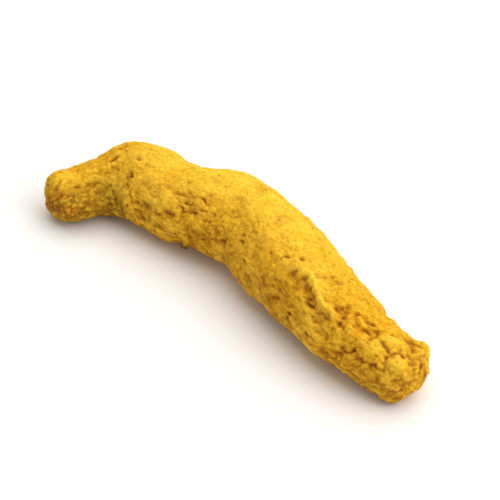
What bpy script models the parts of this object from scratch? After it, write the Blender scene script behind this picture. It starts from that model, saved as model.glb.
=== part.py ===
"""A dried turmeric finger, lying on its side on a surface.

The finger grew as one piece, so it is one solid. It is a chain of internodes, from the blunt bud
end at -X to the end at +X where it was snapped off the mother root. Each internode has its own
length, thickness and heading, and a raised leaf-scar ring stands where two of them meet.
Metres, +Z up, +X along the finger, origin at the middle of the base.
"""

import math
from collections import namedtuple

import bmesh
import bpy
from mathutils import Matrix, Vector

MM = 0.001

# The internodes, from the bud end to the broken end. The heading is the way each one grows, in
# degrees seen from above; width is across and height is up, both at the internode's middle.
Internode = namedtuple("Internode", "length heading width height")
BUD_KNOB = Internode(length=11.8 * MM, heading=60, width=8.1 * MM, height=7.6 * MM)
HUMP = Internode(length=12.0 * MM, heading=6, width=11.8 * MM, height=11.2 * MM)
SHOULDER = Internode(length=11.5 * MM, heading=10, width=12.3 * MM, height=11.8 * MM)
BELLY = Internode(length=14.5 * MM, heading=-22, width=13.4 * MM, height=12.8 * MM)
TAPER = Internode(length=12.0 * MM, heading=-14, width=12.2 * MM, height=11.8 * MM)
BUTT = Internode(length=11.5 * MM, heading=0, width=9.6 * MM, height=9.2 * MM)
INTERNODES = (BUD_KNOB, HUMP, SHOULDER, BELLY, TAPER, BUTT)

# The leaf-scar rings between the internodes: how far each stands out, how wide it is along the
# finger, and how far its plane leans, in degrees.
RING_RISE = 0.30 * MM
RING_SPREAD = 1.3 * MM
RING_LEANS = (14, 22, -12, 18, -20)

# The two ends: the length over which each rounds off, how blunt it is (2 is elliptical), and the
# share of the full thickness at which each closes with a small flat cap.
BUD_ROUNDING, BUD_BLUNTNESS = 3.9 * MM, 2.4
BUTT_ROUNDING, BUTT_BLUNTNESS = 4.2 * MM, 2.3
CAP_SHARE = 0.3

# Swellings and hollows. Each is on an internode, at a distance from where that internode begins
# and at an angle round the finger, in degrees: 0 is the +Y side, 90 the top, 180 the -Y side and
# 270 the underside.
Swelling = namedtuple("Swelling", "internode along angle reach_along reach_round rise")
BUD_HEEL = Swelling(BUD_KNOB, 2.6 * MM, 190, 4.0 * MM, 4.0 * MM, 0.6 * MM)
HUMP_CREST = Swelling(HUMP, 1.8 * MM, 40, 8.0 * MM, 6.0 * MM, 1.0 * MM)
HUMP_HEEL = Swelling(HUMP, 9.0 * MM, 215, 4.0 * MM, 4.0 * MM, 0.7 * MM)
HUMP_NOTCH = Swelling(SHOULDER, 0.1 * MM, 50, 3.0 * MM, 6.0 * MM, -0.45 * MM)
SHOULDER_CREST = Swelling(SHOULDER, 5.0 * MM, 38, 5.8 * MM, 6.0 * MM, 1.3 * MM)
UNDER_LUMP = Swelling(SHOULDER, 6.0 * MM, 285, 5.0 * MM, 4.5 * MM, 0.5 * MM)
SIDE_BUD = Swelling(BELLY, 5.0 * MM, 318, 4.2 * MM, 4.2 * MM, 1.2 * MM)
BELLY_HEEL = Swelling(BELLY, 5.5 * MM, 208, 7.0 * MM, 5.0 * MM, 1.0 * MM)
BELLY_HOLLOW = Swelling(BELLY, 5.0 * MM, 42, 5.5 * MM, 6.0 * MM, -0.7 * MM)
SCALE_RIDGE = Swelling(TAPER, 1.0 * MM, 118, 4.6 * MM, 2.0 * MM, 0.6 * MM)
RIDGE_HOLLOW = Swelling(TAPER, 1.0 * MM, 155, 4.0 * MM, 3.0 * MM, -0.6 * MM)
BUTT_WAIST = Swelling(BUTT, 0.5 * MM, 205, 5.0 * MM, 4.0 * MM, -0.4 * MM)
BUTT_LUMP = Swelling(BUTT, 6.0 * MM, 130, 3.6 * MM, 3.2 * MM, 0.8 * MM)
BUTT_EAR = Swelling(BUTT, 8.5 * MM, 20, 3.2 * MM, 2.6 * MM, 0.8 * MM)
SWELLINGS = (
    BUD_HEEL,
    HUMP_CREST,
    HUMP_HEEL,
    HUMP_NOTCH,
    SHOULDER_CREST,
    UNDER_LUMP,
    SIDE_BUD,
    BELLY_HEEL,
    BELLY_HOLLOW,
    SCALE_RIDGE,
    RIDGE_HOLLOW,
    BUTT_WAIST,
    BUTT_LUMP,
    BUTT_EAR,
)

# Shrinkage as the finger dried leaves broad uneven lumps.
LUMP_SIZE = 5.5 * MM
LUMP_RISE = 0.9 * MM

# The finger's weight bears on small worn flats, cut this far up its lowest points.
FLAT_DEPTH = 0.40 * MM

# The cage that the surface is drawn from.
CAGE_PITCH = 1.6 * MM
CAGE_SIDES = 20
WALK_STEP = 0.05 * MM

PART_NAME = "turmeric_finger"
DRY_SKIN_COLOUR = (0.680, 0.342, 0.018, 1.0)
DRY_SKIN_ROUGHNESS = 0.9


def clear_scene():
    for leftover in list(bpy.data.objects):
        bpy.data.objects.remove(leftover, do_unlink=True)


def collection(name):
    made = bpy.data.collections.new(name)
    bpy.context.scene.collection.children.link(made)
    return made


def finger_length():
    return sum(internode.length for internode in INTERNODES)


def start_of(internode):
    """How far along the finger an internode begins."""
    earlier = INTERNODES[: INTERNODES.index(internode)]
    return sum(passed.length for passed in earlier)


def ring_places():
    """How far along the finger each leaf-scar ring lies."""
    return [start_of(internode) for internode in INTERNODES[1:]]


def smoothstep(share):
    share = min(1.0, max(0.0, share))
    return share * share * (3.0 - 2.0 * share)


def along_internodes(field, along):
    """One of the internodes' values at a distance along the finger, eased from middle to middle."""
    middles = [start_of(internode) + internode.length / 2 for internode in INTERNODES]
    values = [getattr(internode, field) for internode in INTERNODES]
    if along <= middles[0]:
        return values[0]
    for index in range(len(middles) - 1):
        if along <= middles[index + 1]:
            share = (along - middles[index]) / (middles[index + 1] - middles[index])
            return values[index] + (values[index + 1] - values[index]) * smoothstep(share)
    return values[-1]


def end_share(along):
    """How much of the full thickness is left where the two ends round off."""
    share = 1.0
    ends = (
        (along, BUD_ROUNDING, BUD_BLUNTNESS),
        (finger_length() - along, BUTT_ROUNDING, BUTT_BLUNTNESS),
    )
    for distance, rounding, bluntness in ends:
        inward = max(0.0, 1.0 - distance / rounding)
        share *= max(0.0, 1.0 - inward**bluntness) ** (1.0 / bluntness)
    return share


def station_places():
    """Where the cage's sections stand: evenly, but closer where the ends round off."""
    length = finger_length()
    count = round(length / CAGE_PITCH)
    places = [length * index / count for index in range(1, count)]
    bud_cap = cap_place(BUD_ROUNDING, BUD_BLUNTNESS)
    butt_cap = cap_place(BUTT_ROUNDING, BUTT_BLUNTNESS)
    return [bud_cap, *places, length - butt_cap]


def cap_place(rounding, bluntness):
    """The distance from an end at which a section is CAP_SHARE of the full thickness."""
    return rounding * (1.0 - (1.0 - CAP_SHARE**bluntness) ** (1.0 / bluntness))


def centre_line(places):
    """The centre and heading at each place, walked from the bud end. The base lies at z = 0."""
    found, point, walked = [], Vector((0.0, 0.0)), 0.0
    for place in places:
        while walked < place:
            step = min(WALK_STEP, place - walked)
            heading = math.radians(along_internodes("heading", walked + step / 2))
            point = point + step * Vector((math.cos(heading), math.sin(heading)))
            walked += step
        centre = Vector((point.x, point.y, along_internodes("height", place) / 2))
        found.append((centre, math.radians(along_internodes("heading", place))))
    return found


def relief(along, angle):
    """How far the rings and swellings raise the surface at one place."""
    radius = along_internodes("width", along) / 2
    raised = 0.0
    for place, lean in zip(ring_places(), RING_LEANS):
        ring = place + math.tan(math.radians(lean)) * radius * math.cos(angle)
        raised += RING_RISE * math.exp(-(((along - ring) / RING_SPREAD) ** 2))
    for swelling in SWELLINGS:
        turn = (angle - math.radians(swelling.angle) + math.pi) % (2 * math.pi) - math.pi
        ahead = along - start_of(swelling.internode) - swelling.along
        away = math.hypot(ahead / swelling.reach_along, turn * radius / swelling.reach_round)
        raised += swelling.rise * (1.0 - min(1.0, away) ** 2) ** 2
    return raised


def add_section(cage, place, centre, heading):
    """One ring of the cage, square to the finger, with its rings and swellings. Returns its edges."""
    half_width = along_internodes("width", place) / 2
    half_height = along_internodes("height", place) / 2
    share = end_share(place)
    side = Vector((-math.sin(heading), math.cos(heading), 0.0))
    made = bmesh.ops.create_circle(cage, segments=CAGE_SIDES, radius=1.0)["verts"]
    for vertex in made:
        angle = math.atan2(vertex.co.y, vertex.co.x)
        raised = relief(place, angle)
        across = math.cos(angle) * (half_width + raised) * share
        up = math.sin(angle) * (half_height + raised) * share
        vertex.co = centre + side * across + Vector((0.0, 0.0, up))
    return list({edge for vertex in made for edge in vertex.link_edges})


def body_cage():
    """The coarse cage: sections along the centre line, joined up and closed at both ends."""
    places = station_places()
    cage = bmesh.new()
    rings = [
        add_section(cage, place, centre, heading)
        for place, (centre, heading) in zip(places, centre_line(places))
    ]
    for ring, following in zip(rings, rings[1:]):
        bmesh.ops.bridge_loops(cage, edges=ring + following)
    for ring in (rings[0], rings[-1]):
        bmesh.ops.contextual_create(cage, geom=ring)
    bmesh.ops.recalc_face_normals(cage, faces=cage.faces)
    mesh = bpy.data.meshes.new("finger_cage")
    cage.to_mesh(mesh)
    cage.free()
    return mesh


def round_off(finger):
    """The smooth skin over the cage."""
    smooth = finger.modifiers.new("smooth_skin", "SUBSURF")
    smooth.levels = 1
    smooth.render_levels = 1


def shrink(finger):
    """The broad lumps that drying leaves."""
    lumps = bpy.data.textures.new("shrink_lumps", "CLOUDS")
    lumps.noise_scale = LUMP_SIZE
    lumps.noise_depth = 1
    displace = finger.modifiers.new("shrink_lumps", "DISPLACE")
    displace.texture = lumps
    displace.texture_coords = "LOCAL"
    displace.strength = LUMP_RISE
    displace.mid_level = 0.5


def baked(finger):
    """The finger's mesh with its modifiers applied."""
    graph = bpy.context.evaluated_depsgraph_get()
    return bpy.data.meshes.new_from_object(finger.evaluated_get(graph))


def corners(mesh):
    """The lowest and highest corner of a mesh's box."""
    low = Vector(min(vertex.co[axis] for vertex in mesh.vertices) for axis in range(3))
    high = Vector(max(vertex.co[axis] for vertex in mesh.vertices) for axis in range(3))
    return low, high


def lay_along_x(mesh):
    """Turns the finger so that the line from end to end runs along +X."""
    places = [0.0, finger_length()]
    (bud_end, _), (butt_end, _) = centre_line(places)
    chord = butt_end - bud_end
    mesh.transform(Matrix.Rotation(-math.atan2(chord.y, chord.x), 4, "Z"))


def set_down(mesh):
    """Puts the middle of the finger over the origin, with its lowest points FLAT_DEPTH under z = 0."""
    low, high = corners(mesh)
    middle = (low + high) / 2
    mesh.transform(Matrix.Translation((-middle.x, -middle.y, -low.z - FLAT_DEPTH)))


def surface_cutter(mesh, helpers):
    """A block that fills the space under z = 0, to cut the worn flats."""
    low, high = corners(mesh)
    size = high - low
    bpy.ops.mesh.primitive_cube_add(size=1.0)
    block = bpy.context.active_object
    block.name = "surface_under_finger"
    block.data.transform(Matrix.Diagonal((size.x * 2, size.y * 2, size.z, 1.0)))
    block.data.transform(Matrix.Translation((0.0, 0.0, -size.z / 2)))
    for holder in list(block.users_collection):
        holder.objects.unlink(block)
    helpers.objects.link(block)
    block.hide_render = True
    block.display_type = "WIRE"
    return block


def cut_flats(finger, block):
    cut = finger.modifiers.new("worn_flats", "BOOLEAN")
    cut.operation = "DIFFERENCE"
    cut.solver = "EXACT"
    cut.object = block


def dry_skin():
    """Matt, powdery yellow skin."""
    material = bpy.data.materials.new("dry_turmeric_skin")
    material.use_nodes = True
    shader = material.node_tree.nodes["Principled BSDF"]
    shader.inputs["Base Color"].default_value = DRY_SKIN_COLOUR
    shader.inputs["Roughness"].default_value = DRY_SKIN_ROUGHNESS
    shader.inputs["Metallic"].default_value = 0.0
    material.diffuse_color = DRY_SKIN_COLOUR
    return material


def main():
    clear_scene()
    parts = collection("turmeric_root")
    helpers = collection("cutters")

    finger = bpy.data.objects.new(PART_NAME, body_cage())
    parts.objects.link(finger)
    round_off(finger)
    shrink(finger)
    bpy.context.view_layer.update()
    skin = baked(finger)
    finger.modifiers.clear()
    finger.data = skin

    lay_along_x(skin)
    set_down(skin)
    cut_flats(finger, surface_cutter(skin, helpers))
    skin.materials.append(dry_skin())
    skin.shade_smooth()
    low, high = corners(skin)
    print("finger %.1f x %.1f x %.1f mm" % tuple((high - low) / MM))


main()
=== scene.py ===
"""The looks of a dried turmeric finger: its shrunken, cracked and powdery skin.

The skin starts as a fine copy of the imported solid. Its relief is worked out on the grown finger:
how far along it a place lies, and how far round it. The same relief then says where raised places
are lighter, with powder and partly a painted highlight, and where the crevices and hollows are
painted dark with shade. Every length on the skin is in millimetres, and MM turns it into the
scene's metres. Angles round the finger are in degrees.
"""

import math
from collections import namedtuple

import bpy
import numpy as np
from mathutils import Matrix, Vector, noise


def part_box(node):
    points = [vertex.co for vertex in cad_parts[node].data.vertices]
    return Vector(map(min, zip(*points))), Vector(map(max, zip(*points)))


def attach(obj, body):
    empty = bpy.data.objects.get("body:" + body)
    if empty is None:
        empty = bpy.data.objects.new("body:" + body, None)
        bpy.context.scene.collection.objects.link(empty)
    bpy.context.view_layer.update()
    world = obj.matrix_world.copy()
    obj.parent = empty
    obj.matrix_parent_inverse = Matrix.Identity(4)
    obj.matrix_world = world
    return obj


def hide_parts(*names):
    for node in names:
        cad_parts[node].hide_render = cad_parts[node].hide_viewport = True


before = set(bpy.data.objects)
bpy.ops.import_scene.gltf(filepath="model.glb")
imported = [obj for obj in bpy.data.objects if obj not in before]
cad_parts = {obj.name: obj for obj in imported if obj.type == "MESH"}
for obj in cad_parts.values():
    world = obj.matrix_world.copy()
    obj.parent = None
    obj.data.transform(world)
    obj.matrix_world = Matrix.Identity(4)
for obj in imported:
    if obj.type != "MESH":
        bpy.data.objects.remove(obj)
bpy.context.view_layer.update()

MM = 0.001
FINGER = "turmeric_finger"


# ---------------------------------------------------------------- the skin's mesh

# The cells are halved once, to about 0.2 mm, which holds all but the finest wrinkles. Points closer
# together than the weld become one.
SKIN_CELL = 0.39
STEPS_SMOOTHED = 6
WELD = 0.001


def select_only(thing):
    bpy.ops.object.select_all(action="DESELECT")
    thing.select_set(True)
    bpy.context.view_layer.objects.active = thing


def apply_modifier(thing, name, kind, **settings):
    modifier = thing.modifiers.new(name, kind)
    for setting, value in settings.items():
        setattr(modifier, setting, value)
    select_only(thing)
    bpy.ops.object.modifier_apply(modifier=modifier.name)


def fine_copy_of_finger():
    """An even, fine-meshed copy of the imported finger."""
    select_only(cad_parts[FINGER])
    bpy.ops.object.duplicate()
    skin = bpy.context.active_object
    skin.name = "turmeric_skin"
    skin.data.name = "turmeric_skin"
    bpy.ops.object.mode_set(mode="EDIT")
    bpy.ops.mesh.select_all(action="SELECT")
    bpy.ops.mesh.remove_doubles(threshold=WELD * MM)
    bpy.ops.object.mode_set(mode="OBJECT")
    apply_modifier(skin, "even_cells", "REMESH", mode="VOXEL", voxel_size=SKIN_CELL * MM)
    apply_modifier(skin, "no_steps", "SMOOTH", factor=0.5, iterations=STEPS_SMOOTHED)
    apply_modifier(skin, "fine_cells", "SUBSURF", levels=1, render_levels=1)
    return skin


def read_vectors(items, name):
    flat = np.empty(len(items) * 3, np.float32)
    items.foreach_get(name, flat)
    return flat.reshape(-1, 3).astype(float)


def keep(mesh, name, values):
    layer = mesh.attributes.new(name, "FLOAT", "POINT")
    layer.data.foreach_set("value", values.astype(np.float32))


def keep_vectors(mesh, name, vectors):
    layer = mesh.attributes.new(name, "FLOAT_VECTOR", "POINT")
    layer.data.foreach_set("vector", vectors.astype(np.float32).ravel())


def neighbour_mean(edges, values, rounds):
    """The values, evened out over the skin's mesh."""
    degree = np.bincount(edges.ravel(), minlength=len(values))
    for _ in range(rounds):
        total = np.bincount(edges[:, 0], weights=values[edges[:, 1]], minlength=len(values))
        total += np.bincount(edges[:, 1], weights=values[edges[:, 0]], minlength=len(values))
        values = (values + total / degree) / 2.0
    return values


# ---------------------------------------------------------------- places on the skin

# The centre line: how many places it is worked out at, how thick a slice is read at each, how far a
# slice reaches from its place, how far in from each end the first and last slices lie, how far the
# line runs past those, and how many times it is drawn truer.
LINE_PLACES = 44
SLICE = 1.2
WIDEST = 9.5
FIRST_SLICE = 4.0
OVERRUN = 9.0
LINE_ROUNDS = 8

# How many times each point of the skin slides along the line to come square to it, and what share
# of the way it goes each time.
SLIDES = 12
SLIDE_SHARE = 0.6


def unit(vectors):
    return vectors / np.linalg.norm(vectors, axis=-1, keepdims=True)


def reached_along(line):
    """How far along a line each of its places is."""
    steps = np.linalg.norm(np.diff(line, axis=0), axis=1)
    return np.concatenate([[0.0], np.cumsum(steps)])


def read_off(vectors, reached, along):
    """The vectors of a line's places, eased from each place to the next, at other places along it."""
    return np.stack([np.interp(along, reached, vectors[:, axis]) for axis in range(3)], axis=1)


def evenly_spaced(line, count):
    """The same line, with its places the same distance apart."""
    reached = reached_along(line)
    return read_off(line, reached, np.linspace(0.0, reached[-1], count))


def centre_line(points):
    """The finger's centre line from bud end to butt, read from slices square to itself."""
    low, high = points[:, 0].min() + FIRST_SLICE, points[:, 0].max() - FIRST_SLICE
    line = []
    for x in np.linspace(low, high, LINE_PLACES):
        slice_points = points[np.abs(points[:, 0] - x) < SLICE]
        line.append(slice_points.mean(axis=0))
    line = np.array(line)
    for _ in range(LINE_ROUNDS):
        ahead = unit(np.gradient(line, axis=0))
        for index, (place, direction) in enumerate(zip(line.copy(), ahead)):
            away = points - place
            member = (np.abs(away @ direction) < SLICE) & (np.linalg.norm(away, axis=1) < WIDEST)
            shift = away[member].mean(axis=0)
            line[index] += shift - (shift @ direction) * direction
        line[1:-1] = (line[:-2] + 2.0 * line[1:-1] + line[2:]) / 4.0
        line = evenly_spaced(line, LINE_PLACES)
    bud_end = line[0] - unit(line[2] - line[0]) * OVERRUN
    butt_end = line[-1] + unit(line[-1] - line[-3]) * OVERRUN
    return evenly_spaced(np.vstack([bud_end, line, butt_end]), 2 * LINE_PLACES)


# along: from the bud end's tip; turn: round the finger, in radians, 0 on the +Y side and a quarter
# turn on top; radius: from the centre line; straight: the finger's points as if it had grown
# straight, so that a pattern can follow the growth.
Grown = namedtuple("Grown", "along turn radius straight")


def grown_places(points, line):
    """Where each point lies on the grown finger."""
    reached = reached_along(line)
    ahead = unit(np.gradient(line, axis=0))
    # Each point starts from the nearest place on the line, and slides until it is square to it.
    gaps = np.stack([np.linalg.norm(points - place, axis=1) for place in line])
    along = reached[gaps.argmin(axis=0)]
    for _ in range(SLIDES):
        away = points - read_off(line, reached, along)
        slide = (away * read_off(ahead, reached, along)).sum(axis=1)
        along = np.clip(along + SLIDE_SHARE * slide, 0.0, reached[-1])

    away = points - read_off(line, reached, along)
    direction = unit(read_off(ahead, reached, along) * (1.0, 1.0, 0.0))
    across = away[:, 1] * direction[:, 0] - away[:, 0] * direction[:, 1]
    up = away[:, 2]
    along = along - along.min()
    turn = np.arctan2(up, across) % (2.0 * math.pi)
    straight = np.stack([along, across, up], axis=1)
    return Grown(along, turn, np.hypot(across, up), straight)


def gap_round(turn, degrees):
    """How far round the finger each place is from an angle, in radians, from -pi to pi."""
    return (turn - math.radians(degrees) + math.pi) % (2.0 * math.pi) - math.pi


def steps_from(grown, along, degrees):
    """How far each place lies from one point of the skin, along the finger and round it."""
    return grown.along - along, gap_round(grown.turn, degrees) * grown.radius


def patch(grown, along, degrees, reach_along, reach_round):
    """1 in the middle of an oval patch, easing to 0 at its edge."""
    ahead, aside = steps_from(grown, along, degrees)
    away = np.clip(np.hypot(ahead / reach_along, aside / reach_round), 0.0, 1.0)
    return (1.0 - away**2) ** 2


def from_path(grown, path):
    """How far each place is from a line drawn on the skin, and on which side of it."""
    nearest = np.full(len(grown.along), np.inf)
    side = np.zeros(len(grown.along))
    for (along_a, degrees_a), (along_b, degrees_b) in zip(path, path[1:]):
        ahead, aside = steps_from(grown, along_a, degrees_a)
        span_ahead = along_b - along_a
        span_aside = math.radians(degrees_b - degrees_a) * grown.radius
        length = np.hypot(span_ahead, span_aside)
        share = np.clip((ahead * span_ahead + aside * span_aside) / length**2, 0.0, 1.0)
        gap = np.hypot(ahead - share * span_ahead, aside - share * span_aside)
        crossing = (span_ahead * aside - span_aside * ahead) / length
        closer = gap < nearest
        nearest[closer] = gap[closer]
        side[closer] = np.sign(crossing[closer])
    return nearest, side


# ---------------------------------------------------------------- tools for relief

# How far apart two seeds lie in the noise. How much finer each octave is than the last. How fast
# the octaves of rough noise get lower. For ridges: how fast they get lower, how much finer they get,
# how many octaves there are, how high the ridges stand and how sharp they are.
SEED_STEP = 17.3
OCTAVE = 2.1
ROUGH_FALL = 0.75
RIDGE_NOISE = (0.9, OCTAVE, 3, 1.0, 2.0)

# Plates: how much their levels and their tilts differ, how far apart in the noise those of two
# plates are read, and how wide their rims ease down, as a share of a plate.
PLATE_LEVELS, LEVEL_STEP = 2.0, 5.3
PLATE_TILTS, TILT_STEP = 1.6, 3.1
PLATE_RIM = 0.16


def smoothstep(low, high, values):
    """0 below low, 1 above high, and an even slope between. It runs the other way if low > high."""
    share = np.clip((values - low) / (high - low), 0.0, 1.0)
    return share * share * (3.0 - 2.0 * share)


def bell(away, half_width):
    """1 where away is 0, easing to nothing on both sides."""
    return np.exp(-((away / half_width) ** 2))


def spots_in_noise(places, size, seed):
    """The places counted in bumps. Size is how far apart bumps are, along the finger and across."""
    along, across = size
    return (places / np.array([along, across, across]) + SEED_STEP * seed).tolist()


def noise_over(places, size, seed):
    """Smooth noise, from -1 to 1."""
    return np.array([noise.noise(spot) for spot in spots_in_noise(places, size, seed)])


def rough_over(places, size, seed, octaves=4):
    """Rough noise, mostly from -1 to 1: bumps, and finer ones on them."""
    spots = spots_in_noise(places, size, seed)
    return np.array([noise.fractal(spot, ROUGH_FALL, OCTAVE, octaves) for spot in spots])


def ridges_over(places, size, seed):
    """Sharp broken ridges, from 0 to about 1, between rounded dips."""
    spots = spots_in_noise(places, size, seed)
    return np.array([noise.ridged_multi_fractal(spot, *RIDGE_NOISE) for spot in spots]) / 2.0


def plates_over(places, size, seed, gap):
    """Angular plates: how high and how tilted each lies, and the gaps between them.

    The height runs from about -1 to 1, and is 0 along the plates' edges. The gaps are 1 there, and
    their half width is a share of a plate.
    """
    heights, edges = [], []
    for spot in spots_in_noise(places, size, seed):
        (near, beyond, *_), (middle, *_) = noise.voronoi(spot)
        level = PLATE_LEVELS * noise.noise(middle * LEVEL_STEP)
        tilt = noise.noise_vector(middle * TILT_STEP)
        heights.append(level + PLATE_TILTS * (Vector(spot) - middle).dot(tilt))
        edges.append(beyond - near)
    edges = np.array(edges)
    return np.array(heights) * smoothstep(0.0, PLATE_RIM, edges), bell(edges, gap)


# ---------------------------------------------------------------- what the skin is like

# How far the skin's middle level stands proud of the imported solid.
PROUD = 0.12

# Relief made of noise: how far apart its bumps are, along the finger and across, how high or deep
# they are, and its seed. The last three don't raise the skin. RING_WANDER moves the rings along the
# finger, and the other two make creases and the scale leaf's edge uneven by a share.
Bumps = namedtuple("Bumps", "size height seed")
BROAD_LUMPS = Bumps((6.9, 4.6), 0.28, 1)
MIDDLING_LUMPS = Bumps((3.3, 2.2), 0.20, 2)
ROUGH_SKIN = Bumps((2.25, 1.5), 0.17, 5)
BROAD_DENTS = Bumps((3.6, 2.0), 0.15, 7)
SMALL_DENTS = Bumps((2.07, 1.15), 0.12, 17)
FIBRES = Bumps((3.15, 0.75), 0.15, 6)
FLAKES = Bumps((2.2, 1.3), 0.09, 9)
COBBLES = Bumps((2.8, 2.2), 0.08, 8)
BUTT_LUMPS = Bumps((1.3, 1.1), 0.12, 24)
COARSE_GRAIN = Bumps((0.75, 0.5), 0.10, 12)
FINE_GRAIN = Bumps((0.34, 0.34), 0.06, 13)
RING_WANDER = Bumps((2.6, 2.6), 1.5, 3)
UNEVEN_CREASES = Bumps((1.3, 1.3), 0.9, 11)
UNEVEN_EDGE = Bumps((1.6, 1.6), 0.3, 25)

# What bends the wrinkles, and what makes the marks on the skin ragged: how far apart its swings are,
# how far each goes, and a seed for each direction. The scale leaf's edge has a share of it.
WRINKLE_BENDS = Bumps((2.4, 2.4), 0.8, (14, 15, 16))
RAGGEDNESS = Bumps((0.9, 0.9), 0.5, (21, 22))
EDGE_RAGGEDNESS = 0.5

# Noise that says where something is: how far apart such places are, how high the noise is where it
# begins and where it is in full, and its seed.
Cover = namedtuple("Cover", "size begins full seed")
CRACKED_RINGS = Cover((2.2, 2.2), 0.0, 0.3, 4)
FIBROUS_PLACES = Cover((4.5, 4.5), -0.1, 0.35, 18)
FLAKY_PLACES = Cover((4.0, 4.0), -0.4, 0.2, 10)
CRACKED_COBBLES = Cover((2.8, 2.8), -0.1, 0.3, 19)

# The worn back: its middle, how far round from there the wear begins and is full, in radians, and
# where along the finger it begins and is full, from the bud and from the butt.
WORN_MIDDLE = 76
WORN_ROUND = (1.42, 0.34)
WORN_FROM_BUD = (8.0, 20.0)
WORN_FROM_BUTT = (56.0, 46.0)

# How rough the skin is, as a share, and how much of that is worn off the back.
ROUGHNESS = 0.88
WORN_OFF = 0.42

# How high the noise is where a dent begins and where it is deepest.
DENT_SLOPE = (0.15, 0.60)

# How much of the fibres there is in places that aren't fibrous.
FEWEST_FIBRES = 0.35

# The cracks between flakes and between cobbles: their half width, as a share of one, and their
# depth. How much less there is of the flakes than of other roughness. Where along the finger the
# cobbles begin and are full.
FLAKE_CRACKS = (0.15, 0.17)
COBBLE_CRACKS = (0.07, 0.08)
FEWER_FLAKES = 0.20
COBBLED_FROM = (55.0, 64.0)

# A ridge's height and half width. A groove's height is below 0.
Ridge = namedtuple("Ridge", "height half_width")

# The leaf-scar rings: how far along each lies, and how many degrees its plane leans. Each is a low
# ridge, with a crack this far behind it.
RINGS = ((11.5, 14), (23.5, 22), (35.0, -12), (49.5, 18), (61.5, -20))
RING_RIDGE = Ridge(0.12, 0.8)
RING_CRACK = Ridge(-0.14, 0.22)
CRACK_BEHIND = 0.9

# Pits: along, angle, radius and depth, then how many radii they reach along and round the finger.
PITS = (
    (11.3, 88, 0.55, 0.36),
    (12.5, 68, 0.45, 0.17),
    (15.3, 100, 0.50, 0.26),
    (16.7, 109, 0.60, 0.19),
    (15.1, 129, 0.80, 0.52),
    (14.8, 144, 1.20, 0.24),
    (18.2, 136, 0.85, 0.26),
    (23.1, 157, 0.80, 0.36),
    (21.6, 185, 0.70, 0.27),
    (32.9, 104, 1.00, 0.22),
    (31.4, 132, 1.10, 0.29),
    (32.6, 161, 0.80, 0.26),
    (34.9, 167, 0.60, 0.22),
    (38.6, 148, 0.50, 0.22),
    (52.6, 131, 1.20, 0.29),
    (55.0, 139, 0.95, 0.33),
    (57.5, 150, 0.85, 0.30),
    (59.2, 160, 1.00, 0.37),
    (53.2, 171, 0.60, 0.26),
    (52.9, 183, 0.60, 0.29),
    (62.0, 95, 0.55, 0.26),
    (63.2, 92, 0.60, 0.32),
    (63.6, 108, 0.60, 0.26),
    (60.8, 101, 0.55, 0.24),
    (59.2, 104, 0.50, 0.22),
    (59.4, 138, 0.60, 0.27),
    (60.4, 129, 0.60, 0.27),
    (63.1, 68, 0.50, 0.24),
    (62.0, 167, 0.60, 0.26),
    (70.6, 53, 0.40, 0.34),
    (69.4, 66, 0.40, 0.28),
)
PIT_REACH_ALONG, PIT_REACH_ROUND = 1.7, 1.2

# Creases and cracks: the places each runs through, its half width and its depth, then the share of
# its depth that there is on the whole, at least and at most.
CREASES = (
    (((47.0, 122), (47.6, 112), (48.5, 107), (49.5, 104)), 0.24, 0.38),
    (((51.6, 196), (52.6, 187), (53.2, 178), (52.9, 170)), 0.20, 0.21),
    (((17.4, 171), (18.0, 179), (19.3, 187), (19.8, 197)), 0.20, 0.20),
    (((10.4, 146), (10.6, 157), (10.7, 176)), 0.27, 0.19),
    (((4.2, 120), (5.7, 126), (7.4, 129)), 0.25, 0.18),
    (((22.6, 127), (24.4, 126), (26.0, 123)), 0.18, 0.24),
    (((25.2, 128), (26.9, 127), (29.0, 127)), 0.18, 0.24),
    (((23.2, 134), (24.8, 138), (26.4, 137)), 0.18, 0.24),
    (((26.6, 142), (28.6, 139), (30.2, 140)), 0.18, 0.24),
    (((24.4, 146), (26.0, 149), (27.6, 148)), 0.18, 0.25),
    (((28.4, 150), (30.0, 152), (31.6, 151)), 0.18, 0.25),
    (((45.0, 168), (46.4, 166), (47.2, 167)), 0.14, 0.15),
    (((45.4, 174), (46.6, 173), (47.9, 175)), 0.14, 0.15),
    (((58.6, 116), (59.5, 111), (60.2, 104), (61.4, 98)), 0.18, 0.21),
    (((55.2, 141), (57.2, 139), (59.0, 136), (60.4, 128), (60.0, 119)), 0.22, 0.22),
    (
        ((63.9, 94), (64.9, 95), (66.1, 107), (68.0, 114), (69.5, 116), (70.6, 107), (71.5, 108)),
        0.18,
        0.34,
    ),
    (((63.9, 144), (64.7, 154), (66.1, 156), (67.2, 150), (68.7, 146), (69.8, 152)), 0.18, 0.31),
    (((63.9, 150), (62.9, 160), (61.9, 168)), 0.18, 0.22),
    (((70.7, 75), (71.5, 78), (72.2, 55)), 0.18, 0.31),
    (((68.7, 146), (69.2, 136), (69.0, 126), (69.5, 116)), 0.18, 0.24),
    (((65.7, 222), (67.7, 209), (69.5, 212), (70.7, 200)), 0.18, 0.31),
    (((64.2, 40), (66.2, 26), (68.2, 32), (70.1, 18)), 0.18, 0.31),
    (((65.7, 300), (67.7, 316), (69.2, 306), (70.7, 320)), 0.18, 0.31),
)
CREASE_SHARE, CREASE_LEAST, CREASE_MOST = 0.85, 0.3, 1.2

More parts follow.
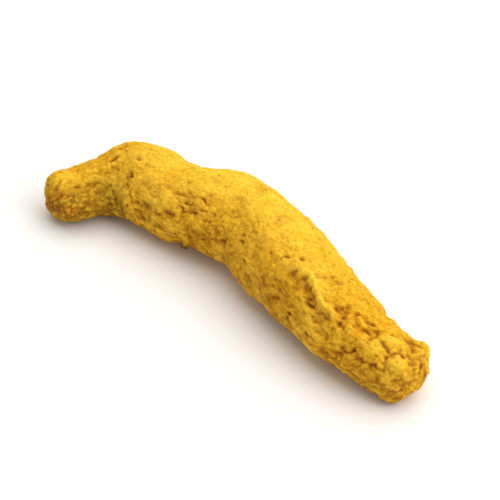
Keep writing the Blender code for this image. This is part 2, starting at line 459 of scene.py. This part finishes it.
# Lumps: along, angle, reach along, reach round and height.
LUMPS = (
    (58.1, 124, 1.3, 1.1, 0.50),
    (51.9, 96, 1.0, 0.9, 0.26),
    (61.9, 127, 1.6, 1.5, 0.34),
    (63.9, 124, 1.3, 1.3, 0.26),
    (61.4, 146, 1.4, 1.4, 0.26),
    (66.5, 132, 2.2, 1.7, 0.55),
    (70.9, 127, 1.8, 1.9, 0.75),
    (67.1, 99, 2.6, 1.5, 0.36),
    (69.1, 90, 1.6, 1.6, 0.30),
    (70.2, 44, 1.3, 1.2, 0.80),
    (71.2, 62, 1.1, 1.2, 0.75),
    (69.3, 56, 0.8, 0.8, 0.35),
    (65.2, 72, 1.8, 1.6, 0.30),
    (67.2, 160, 1.8, 1.6, 0.36),
    (66.1, 190, 1.8, 1.8, 0.36),
    (69.5, 230, 2.0, 1.8, 0.45),
    (67.2, 330, 2.2, 1.8, 0.45),
    (69.5, 10, 1.8, 1.8, 0.40),
)

# Root scars: along, angle and radius, then their rims and pits. Where those lie and how wide they
# are is counted in radii.
ROOT_SCARS = (
    (18.2, 322, 0.85),
    (27.4, 296, 0.75),
    (33.6, 18, 0.80),
    (46.6, 344, 0.95),
    (56.8, 318, 0.85),
    (52.4, 232, 0.80),
    (63.2, 12, 0.75),
)
SCAR_RIM, SCAR_RIM_AT = Ridge(0.22, 0.35), 1.25
SCAR_PIT, SCAR_PIT_AT = Ridge(-0.38, 0.35), 0.55

# The old scale leaf's edge, from its ledge down to its nose. It has a crest all along. Below the
# crest it drops steeply into a hollow, whose middle is this far down. Above, it slopes away.
SCALE_EDGE = ((51.0, 115), (52.0, 109), (53.2, 111), (55.0, 117), (56.4, 122), (57.4, 126))
EDGE_CREST = Ridge(0.26, 0.26)
EDGE_DROP = Ridge(0.44, 0.50)
EDGE_HOLLOW, HOLLOW_DOWN = Ridge(-0.28, 0.7), 1.3
EDGE_SHORT_SLOPE = Ridge(0.10, 0.50)
EDGE_LONG_SLOPE = Ridge(0.34, 1.7)

# How far from the crest the skin is rubbed smooth, how much of the finer relief that takes away, and
# how near the crest, as a share, the painted highlight along it starts and is full.
EDGE_RUBBED = 1.3
RUBBED_AWAY = 0.7
EDGE_HIGHLIGHT = (0.86, 0.98)

# The side bud low on the back, and the tip of the finger's own bud: where each is, how deep its
# scales' edges are cut, and the radii of the rings that they make. How wide a cut is, and how high
# the scale rises just inside it, as a share of the cut's depth, how wide, and how far inside.
BUDS = (((39.6, 318), 0.24, (1.3, 2.5)), ((1.0, 90), 0.08, (1.2, 2.4)))
SCALE_CUT = 0.20
SCALE_RISE, SCALE_RISE_WIDTH, SCALE_RISE_INSIDE = 0.6, 0.35, 0.35

# The dried stub of a rootlet, low on the -Y side: its place, how high it stands, and the radii of
# its foot and its tip.
STUB_PLACE = (25.4, 202)
STUB_HEIGHT = 1.1
STUB_FOOT, STUB_TIP = 1.15, 0.5

# The patch beside the bud where the skin is still whole: its middle, its reach along and round.
WHOLE_SKIN = (5.0, 190, 14.0, 6.5)

# Rubbed places where the raw flesh shows reddish brown, given in the same way.
RAW_PATCHES = (
    (1.1, 150, 3.0, 3.0),
    (2.6, 176, 2.4, 2.2),
    (26.8, 135, 5.0, 2.8),
    (33.0, 163, 2.4, 1.6),
    (22.6, 192, 2.6, 1.6),
    (48.6, 162, 5.0, 3.4),
    (54.2, 129, 2.4, 1.8),
    (60.5, 112, 3.6, 2.0),
    (53.0, 184, 2.6, 1.8),
    (66.6, 150, 3.0, 2.0),
    (13.6, 330, 3.0, 2.4),
    (36.0, 292, 4.0, 2.4),
    (50.5, 6, 3.6, 2.4),
    (62.0, 300, 4.0, 2.6),
    (71.5, 200, 2.4, 2.6),
    (71.0, 60, 3.0, 3.2),
)

# How strong those patches would be in their middle. Above 1, more of the middle is in full.
WHOLE_SKIN_FULL = 1.6
RAW_FULL = 1.5

# How many rounds the relief is evened out for, first against grain, then for what is near a place
# and for what is wide around it. A crevice's depth below what is near, where it begins and is full.
# How deep a full hollow is below what is wide around, and how high a full crest stands.
GRAIN_ROUNDS, NEAR_ROUNDS, WIDE_ROUNDS = 2, 20, 60
CREVICE_DEPTH = (0.015, 0.15)
HOLLOW_DEPTH = 0.16
CREST_HEIGHT = 0.10

# How much the skin faces up where the underside begins and where it is full. The underside is
# painted darker, partly its own tone and partly painted shade.
UNDERSIDE = (0.80, 0.0)


# ---------------------------------------------------------------- the skin's relief


def bumps(places, kind):
    return kind.height * noise_over(places, kind.size, kind.seed)


def covered(grown, cover):
    """1 where the thing is in full, easing to 0 where there is none of it."""
    return smoothstep(cover.begins, cover.full, noise_over(grown.straight, cover.size, cover.seed))


def ridge(away, shape):
    return shape.height * bell(away, shape.half_width)


def body_lumps(grown):
    """The uneven shrinking of the flesh under the skin."""
    return bumps(grown.straight, BROAD_LUMPS) + bumps(grown.straight, MIDDLING_LUMPS)


def leaf_scar_rings(grown):
    """A low ridge with a fine broken crack beside it, where each leaf once sat."""
    rise = np.zeros(len(grown.along))
    wander = bumps(grown.straight, RING_WANDER)
    cracked = covered(grown, CRACKED_RINGS)
    for along, lean in RINGS:
        place = along + math.tan(math.radians(lean)) * grown.radius * np.cos(grown.turn)
        ahead = grown.along - place + wander
        rise += ridge(ahead, RING_RIDGE) + cracked * ridge(ahead + CRACK_BEHIND, RING_CRACK)
    return rise


def worn_back(grown):
    """1 on the back, between the ends, where rubbing has left the skin smoothest and most powdery."""
    facing_up = smoothstep(*WORN_ROUND, np.abs(gap_round(grown.turn, WORN_MIDDLE)))
    from_bud = smoothstep(*WORN_FROM_BUD, grown.along)
    return facing_up * from_bud * smoothstep(*WORN_FROM_BUTT, grown.along)


def how_rough(grown):
    return ROUGHNESS - WORN_OFF * worn_back(grown)


def wrinkles(grown, bent):
    """Rough shrunken skin: ragged dents, and short fibres that run lengthwise."""
    rise = ROUGH_SKIN.height * rough_over(bent, ROUGH_SKIN.size, ROUGH_SKIN.seed)
    for dents in (BROAD_DENTS, SMALL_DENTS):
        rough = rough_over(bent, dents.size, dents.seed, octaves=3)
        rise -= dents.height * smoothstep(*DENT_SLOPE, rough)
    fibrous = FEWEST_FIBRES + (1.0 - FEWEST_FIBRES) * covered(grown, FIBROUS_PLACES)
    rise += FIBRES.height * (ridges_over(bent, FIBRES.size, FIBRES.seed) - 0.5) * fibrous
    return rise * how_rough(grown)


def flakes(grown, bent):
    """Lifted flakes of skin, a millimetre or two long, with cracks between, off the worn back."""
    gap, depth = FLAKE_CRACKS
    height, gaps = plates_over(bent, FLAKES.size, FLAKES.seed, gap)
    rise = FLAKES.height * height - depth * gaps
    return rise * covered(grown, FLAKY_PLACES) * (how_rough(grown) - FEWER_FLAKES)


def butt_cobbles(grown, bent):
    """The flesh by the snapped end dried into small lumps, with cracks between some of them."""
    gap, depth = COBBLE_CRACKS
    height, gaps = plates_over(bent, COBBLES.size, COBBLES.seed, gap)
    rise = COBBLES.height * height - depth * gaps * covered(grown, CRACKED_COBBLES)
    return (rise + bumps(bent, BUTT_LUMPS)) * smoothstep(*COBBLED_FROM, grown.along)


def ragged_places(grown, share=1.0):
    """The same places, shaken a little, so that what is drawn on them comes out ragged."""
    swing = share * RAGGEDNESS.height
    ahead, aside = [
        swing * noise_over(grown.straight, RAGGEDNESS.size, seed) for seed in RAGGEDNESS.seed
    ]
    turn = (grown.turn + aside / grown.radius) % (2.0 * math.pi)
    return grown._replace(along=grown.along + ahead, turn=turn)


def creases(grown):
    rise = np.zeros(len(grown.along))
    uneven = CREASE_SHARE + bumps(grown.straight, UNEVEN_CREASES)
    share = np.clip(uneven, CREASE_LEAST, CREASE_MOST)
    for path, half_width, depth in CREASES:
        away, _ = from_path(grown, path)
        rise -= depth * share * bell(away, half_width)
    return rise


def pits(grown):
    rise = np.zeros(len(grown.along))
    for along, degrees, radius, depth in PITS:
        reach = (PIT_REACH_ALONG * radius, PIT_REACH_ROUND * radius)
        rise -= depth * patch(grown, along, degrees, *reach)
    return rise


def lumps(grown):
    rise = np.zeros(len(grown.along))
    for along, degrees, reach_along, reach_round, height in LUMPS:
        rise += height * patch(grown, along, degrees, reach_along, reach_round)
    return rise


def scale_edge(grown):
    """The lifted edge of an old scale leaf: steep on its lower side, long on its upper side.

    Also how near each place is to the edge's crest, from 0 to 1, where it has been rubbed smooth.
    """
    away, side = from_path(grown, SCALE_EDGE)
    below = ridge(away, EDGE_DROP) + ridge(away - HOLLOW_DOWN, EDGE_HOLLOW)
    above = ridge(away, EDGE_SHORT_SLOPE) + ridge(away, EDGE_LONG_SLOPE)
    rise = ridge(away, EDGE_CREST) + np.where(side > 0, below, above)
    return rise * (1.0 + bumps(grown.straight, UNEVEN_EDGE)), bell(away, EDGE_RUBBED)


def root_scars(grown):
    """Where roots broke off: a low rim round a pit, with the root's dried core in the middle."""
    rise = np.zeros(len(grown.along))
    for along, degrees, radius in ROOT_SCARS:
        away = np.hypot(*steps_from(grown, along, degrees)) / radius
        rise += ridge(away - SCAR_RIM_AT, SCAR_RIM) + ridge(away - SCAR_PIT_AT, SCAR_PIT)
    return rise


def bud_scales(grown):
    """Rings of dried scale round the side bud and round the finger's own bud."""
    rise = np.zeros(len(grown.along))
    for (along, degrees), depth, radii in BUDS:
        away = np.hypot(*steps_from(grown, along, degrees))
        for radius in radii:
            inside = away - radius + SCALE_RISE_INSIDE
            rise += SCALE_RISE * depth * bell(inside, SCALE_RISE_WIDTH)
            rise -= depth * bell(away - radius, SCALE_CUT)
    return rise


def grain(grown):
    """The powdery grain of the skin."""
    return bumps(grown.straight, COARSE_GRAIN) + bumps(grown.straight, FINE_GRAIN)


def rootlet_stub(grown):
    """1 on the tip of the rootlet's stub, easing to 0 round its foot."""
    return smoothstep(STUB_FOOT, STUB_TIP, np.hypot(*steps_from(grown, *STUB_PLACE)))


def relief(grown, ragged):
    """How high the skin stands, without the stub, and how near each place is to the rubbed edge."""
    bends = [rough_over(grown.straight, WRINKLE_BENDS.size, seed) for seed in WRINKLE_BENDS.seed]
    bent = grown.straight + WRINKLE_BENDS.height * np.stack(bends, axis=1)
    coarse = body_lumps(grown) + lumps(ragged) + leaf_scar_rings(grown)
    fine = wrinkles(grown, bent) + flakes(grown, bent) + butt_cobbles(grown, bent)
    fine += creases(ragged) + pits(ragged) + root_scars(ragged) + bud_scales(ragged)
    edge, rubbed = scale_edge(ragged_places(grown, EDGE_RAGGEDNESS))
    return coarse + fine * (1.0 - RUBBED_AWAY * rubbed) + edge + grain(grown), rubbed


def keep_depths(mesh, height):
    """Keeps how deep each point lies in a crevice and in a hollow, and how high on a crest."""
    edges = np.empty(len(mesh.edges) * 2, np.int32)
    mesh.edges.foreach_get("vertices", edges)
    edges = edges.reshape(-1, 2)
    evened = neighbour_mean(edges, height, GRAIN_ROUNDS)
    near = neighbour_mean(edges, evened, NEAR_ROUNDS)
    wide = neighbour_mean(edges, near, WIDE_ROUNDS)
    # The crevice and hollow depths say where the colours paint shade. The crest height says where they
    # lay powder, partly as a painted highlight.
    keep(mesh, "crevice", smoothstep(*CREVICE_DEPTH, near - evened))
    keep(mesh, "hollow", np.clip((wide - near) / HOLLOW_DEPTH, 0.0, 1.0))
    keep(mesh, "crest", np.clip((height - near) / CREST_HEIGHT, 0.0, 1.0))


def shape_skin(skin):
    """Moves the skin's points by the relief, and keeps what the colours are read from."""
    mesh = skin.data
    points = read_vectors(mesh.vertices, "co") / MM
    normals = read_vectors(mesh.vertex_normals, "vector")
    grown = grown_places(points, centre_line(points))
    ragged = ragged_places(grown)
    height, rubbed = relief(grown, ragged)
    stub = rootlet_stub(grown)

    moved = points + normals * (height + PROUD + STUB_HEIGHT * stub)[:, None]
    moved[:, 2] = np.maximum(moved[:, 2], 0.0)
    mesh.vertices.foreach_set("co", (moved * MM).astype(np.float32).ravel())
    mesh.update()

    keep_depths(mesh, height)
    keep(mesh, "stub", stub)
    # A painted highlight along the scale leaf's crest.
    keep(mesh, "painted_edge_highlight", smoothstep(*EDGE_HIGHLIGHT, rubbed))
    keep(mesh, "whole_skin", np.clip(WHOLE_SKIN_FULL * patch(grown, *WHOLE_SKIN), 0.0, 1.0))
    raw = [patch(ragged, *place) for place in RAW_PATCHES]
    keep(mesh, "raw", np.clip(RAW_FULL * np.max(raw, axis=0), 0.0, 1.0))
    keep(mesh, "dusted", worn_back(grown))
    # How far each point faces down: where the colours paint shade on the underside.
    keep(mesh, "underside", smoothstep(*UNDERSIDE, normals[:, 2]))
    keep_vectors(mesh, "straight", grown.straight)
    mesh.shade_smooth()


# ---------------------------------------------------------------- materials

# Ochre is the dried flesh's own colour under all the others.
OCHRE = "#E6A818"

# The fluff of loose powder and fibre ends: how far apart, how much longer lengthwise, how high.
FLUFF_SIZE = 0.16
FLUFF_STRETCH = 1.6
FLUFF_HEIGHT = 0.09

# The patterns that break up the skin's colours. Size is how far apart a pattern's marks are, and
# stretch is how much longer they run along the finger. The pattern eases from least to most as its
# noise runs from low to high. The grains of powder are finer than they can be seen here, so they
# are drawn about three times too coarse.
Pattern = namedtuple("Pattern", "size stretch detail rough low high least most")
PATTERNS = {
    "powder_drifts": Pattern(6.0, 1.4, 2.0, 0.5, 0.40, 0.62, 0.0, 1.0),
    "shade_patches": Pattern(2.4, 1.6, 3.0, 0.5, 0.40, 0.62, 0.0, 1.0),
    "rubbed_powder": Pattern(2.0, 1.4, 3.0, 0.5, 0.30, 0.60, 0.25, 0.85),
    "torn_fibres": Pattern(0.7, 2.6, 3.0, 0.6, 0.42, 0.60, 0.05, 0.65),
    "olive_patches": Pattern(1.6, 1.3, 3.0, 0.5, 0.35, 0.65, 0.55, 0.95),
    "fine_fibres": Pattern(0.32, 3.5, 2.0, 0.6, 0.52, 0.70, 0.0, 1.0),
    "mottle": Pattern(1.1, 1.5, 3.0, 0.6, 0.46, 0.66, 0.0, 1.0),
    "specks": Pattern(0.55, 1.8, 2.0, 0.6, 0.56, 0.72, 0.0, 1.0),
    "specked_places": Pattern(3.2, 1.0, 2.0, 0.5, 0.42, 0.62, 0.10, 0.60),
    "powder_grains": Pattern(0.30, 1.3, 3.0, 0.6, 0.30, 0.70, 0.80, 1.14),
}

# What the skin's points hold, and parts of those values: the value, from low to high, eases from
# first to last.
POINT_VALUES = (
    "crevice",
    "hollow",
    "crest",
    "stub",
    "painted_edge_highlight",
    "whole_skin",
    "raw",
    "dusted",
    "underside",
)
Part = namedtuple("Part", "value low high first last")
PARTS = {
    # The underside is painted darker, partly its own tone and partly painted shade, and the mottle is
    # laid heavier there as painted shade.
    "painted_shade_low": Part("underside", 0.0, 1.0, 0.30, 0.85),
    "mottle_and_shade_low": Part("underside", 0.0, 1.0, 0.15, 0.50),
    "unworn": Part("dusted", 0.0, 1.0, 1.0, 0.35),
    "deep_crevice": Part("crevice", 0.80, 1.0, 0.0, 1.0),
    "deep_hollow": Part("hollow", 0.60, 1.0, 0.0, 1.0),
}

# The colours over the ochre, from the first laid to the last: the colour, how strong it is at most,
# and what says where it shows.
COLOURS_LAID = (
    ("#FCC838", 0.70, ("powder_drifts",)),
    # Darker ochre on the underside: partly the skin's own tone, partly painted shade.
    ("#C2860A", 1.00, ("shade_patches", "painted_shade_low")),
    ("#FCC838", 1.00, ("dusted", "rubbed_powder")),
    ("#8A640C", 1.00, ("whole_skin", "olive_patches")),
    ("#AE5E0A", 1.00, ("raw", "torn_fibres")),
    ("#AE5E0A", 0.38, ("fine_fibres", "unworn")),
    # Lighter on what stands up: powder, and partly a painted highlight.
    ("#FCC838", 0.60, ("crest",)),
    # Painted shade in the hollows.
    ("#AE5E0A", 0.45, ("hollow",)),
    # Brown mottle, laid heavier on the underside as painted shade.
    ("#84500A", 1.00, ("mottle", "mottle_and_shade_low")),
    ("#84500A", 1.00, ("specks", "specked_places")),
    # Painted highlight along the scale leaf's crest, broken up by the powder pattern.
    ("#FFCC3C", 0.70, ("painted_edge_highlight", "rubbed_powder")),
    # Painted shade in the crevices.
    ("#8A4A08", 0.80, ("crevice",)),
    # The darkest painted shade, deep in the crevices and hollows.
    ("#453008", 0.70, ("deep_crevice", "deep_hollow")),
    ("#453008", 1.00, ("stub",)),
)


# Where a Mix node of colours has its share, the colour under, the colour over and what comes out.
SHARE, UNDER, OVER, MIXED = 0, 6, 7, 2


def linear(hex_colour):
    """An sRGB hex colour as linear RGBA."""
    values = [int(hex_colour[start : start + 2], 16) / 255.0 for start in (1, 3, 5)]
    return [v / 12.92 if v <= 0.04045 else ((v + 0.055) / 1.055) ** 2.4 for v in values] + [1.0]


def add(tree, kind, inputs=(), **settings):
    """Adds a node, sets it, and fills its inputs with values or with other nodes' outputs."""
    made = tree.nodes.new("ShaderNode" + kind)
    for name, value in settings.items():
        setattr(made, name, value)
    for socket, value in dict(inputs).items():
        if isinstance(value, bpy.types.NodeSocket):
            tree.links.new(value, made.inputs[socket])
        else:
            made.inputs[socket].default_value = value
    return made


def new_material(name):
    material = bpy.data.materials.new(name)
    material.use_nodes = True
    return material, material.node_tree.nodes["Principled BSDF"]


def dried_turmeric_skin():
    """Sun-dried turmeric skin, tumbled until it is dusted with its own powder.

    It is matt and chalky: bright yellow on what stands up, partly powder and partly a painted
    highlight, painted shade in the crevices and hollows and on the underside, and olive where the skin
    is still whole, by the bud.
    """
    material, shader = new_material("dried_turmeric_skin")
    tree = material.node_tree
    straight = add(tree, "Attribute", attribute_name="straight").outputs["Vector"]
    where = {name: add(tree, "Attribute", attribute_name=name).outputs["Fac"] for name in POINT_VALUES}
    for name, part in PARTS.items():
        run = {"Value": where[part.value], "From Min": part.low, "From Max": part.high}
        run.update({"To Min": part.first, "To Max": part.last})
        eased = add(tree, "MapRange", run, interpolation_type="SMOOTHSTEP")
        where[name] = eased.outputs["Result"]
    for name, marks in PATTERNS.items():
        fitted = add(tree, "Mapping", {"Vector": straight, "Scale": (1.0 / marks.stretch, 1.0, 1.0)})
        drawn = {"Vector": fitted.outputs["Vector"], "Scale": 1.0 / marks.size}
        drawn.update({"Detail": marks.detail, "Roughness": marks.rough})
        cloud = add(tree, "TexNoise", drawn).outputs["Fac"]
        run = {"Value": cloud, "From Min": marks.low, "From Max": marks.high}
        run.update({"To Min": marks.least, "To Max": marks.most})
        eased = add(tree, "MapRange", run, interpolation_type="SMOOTHSTEP")
        where[name] = eased.outputs["Result"]

    colour = linear(OCHRE)
    for laid, share, names in COLOURS_LAID:
        for name in names:
            share = add(tree, "Math", {0: share, 1: where[name]}, operation="MULTIPLY").outputs[0]
        layers = {SHARE: share, UNDER: colour, OVER: linear(laid)}
        colour = add(tree, "Mix", layers, data_type="RGBA").outputs[MIXED]
    grains = where["powder_grains"]
    grey = add(tree, "CombineColor", {"Red": grains, "Green": grains, "Blue": grains}).outputs["Color"]
    layers = {SHARE: 1.0, UNDER: colour, OVER: grey}
    grained = add(tree, "Mix", layers, data_type="RGBA", blend_type="MULTIPLY").outputs[MIXED]
    tree.links.new(grained, shader.inputs["Base Color"])

    lengthwise = add(tree, "Mapping", {"Vector": straight, "Scale": (1.0 / FLUFF_STRETCH, 1.0, 1.0)})
    drawn = {"Vector": lengthwise.outputs["Vector"], "Scale": 1.0 / FLUFF_SIZE}
    drawn.update({"Detail": 3.0, "Roughness": 0.6})
    fluff = add(tree, "TexNoise", drawn).outputs["Fac"]
    bump = add(tree, "Bump", {"Height": fluff, "Distance": FLUFF_HEIGHT * MM, "Strength": 1.0})
    tree.links.new(bump.outputs["Normal"], shader.inputs["Normal"])
    shader.inputs["Roughness"].default_value = 0.9
    shader.inputs["Specular IOR Level"].default_value = 0.12
    shader.inputs["Sheen Weight"].default_value = 0.03
    shader.inputs["Sheen Roughness"].default_value = 0.6
    shader.inputs["Sheen Tint"].default_value = linear("#FFD870")
    return material


def studio_paper():
    """Matt white background paper, with no pattern that the eye can see."""
    material, shader = new_material("studio_paper")
    shader.inputs["Base Color"].default_value = linear("#F3F2F0")
    shader.inputs["Roughness"].default_value = 0.95
    shader.inputs["Specular IOR Level"].default_value = 0.1
    return material


# ---------------------------------------------------------------- studio

# Things in the studio stand so many degrees round from the -Y side, so many degrees up, and so many
# metres away. The camera's lens and sensor are in millimetres, and it sees what lies between two
# distances in metres. A softbox's light is its size in metres, its watts and its colour.
CAMERA_STANDS = (36.0, 42.0, 0.70)
CAMERA_LENS, CAMERA_SENSOR = 350.0, 36.0
CAMERA_SEES = (0.01, 10.0)
OVERHEAD_STANDS, OVERHEAD_LIGHT = (165, 68, 0.9), (1.5, 11.4, "#FFFDF8")
RIGHT_STANDS, RIGHT_LIGHT = (95, 38, 0.9), (0.6, 2.7, "#FFFFFF")
ROOM_COLOUR, ROOM_BRIGHTNESS = "#FFFFFF", 0.42
PAPER_SIZE = 3.0


def lay_floor():
    bpy.ops.object.select_all(action="DESELECT")
    bpy.ops.mesh.primitive_plane_add(size=PAPER_SIZE)
    floor = bpy.context.active_object
    floor.name = "paper_floor"
    floor.data.materials.append(studio_paper())


def aim(thing, target):
    thing.rotation_mode = "QUATERNION"
    thing.rotation_quaternion = (target - thing.location).to_track_quat("-Z", "Y")


def around(target, azimuth, elevation, distance):
    """A place at a distance from the target, seen at these angles."""
    turn, lift = math.radians(azimuth), math.radians(elevation)
    flat = math.cos(lift)
    return target + distance * Vector((math.sin(turn) * flat, -math.cos(turn) * flat, math.sin(lift)))


def hang_softbox(name, target, stands, size, watts, colour):
    bpy.ops.object.select_all(action="DESELECT")
    bpy.ops.object.light_add(type="AREA", location=around(target, *stands))
    box = bpy.context.active_object
    box.name = name
    box.data.shape = "SQUARE"
    box.data.size = size
    box.data.energy = watts
    box.data.color = linear(colour)[:3]
    aim(box, target)


def light_studio(target):
    hang_softbox("overhead_softbox", target, OVERHEAD_STANDS, *OVERHEAD_LIGHT)
    hang_softbox("right_softbox", target, RIGHT_STANDS, *RIGHT_LIGHT)
    world = bpy.data.worlds.new("pale_room")
    world.use_nodes = True
    room = world.node_tree.nodes["Background"]
    room.inputs["Color"].default_value = linear(ROOM_COLOUR)
    room.inputs["Strength"].default_value = ROOM_BRIGHTNESS
    bpy.context.scene.world = world


def place_camera(target):
    """The camera looks down on the finger, with the butt coming towards it on the right."""
    bpy.ops.object.camera_add(location=around(target, *CAMERA_STANDS))
    camera = bpy.context.active_object
    camera.name = "camera"
    camera.data.lens = CAMERA_LENS
    camera.data.sensor_width = CAMERA_SENSOR
    camera.data.clip_start, camera.data.clip_end = CAMERA_SEES
    aim(camera, target)
    bpy.context.scene.camera = camera


# ---------------------------------------------------------------- making it


def main():
    low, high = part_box(FINGER)
    middle = (low + high) / 2.0
    place_camera(middle)
    light_studio(middle)
    lay_floor()

    skin = fine_copy_of_finger()
    shape_skin(skin)
    skin.data.materials.clear()
    skin.data.materials.append(dried_turmeric_skin())
    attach(skin, "root")
    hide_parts(FINGER)

    bpy.context.scene.view_settings.view_transform = "Standard"


main()
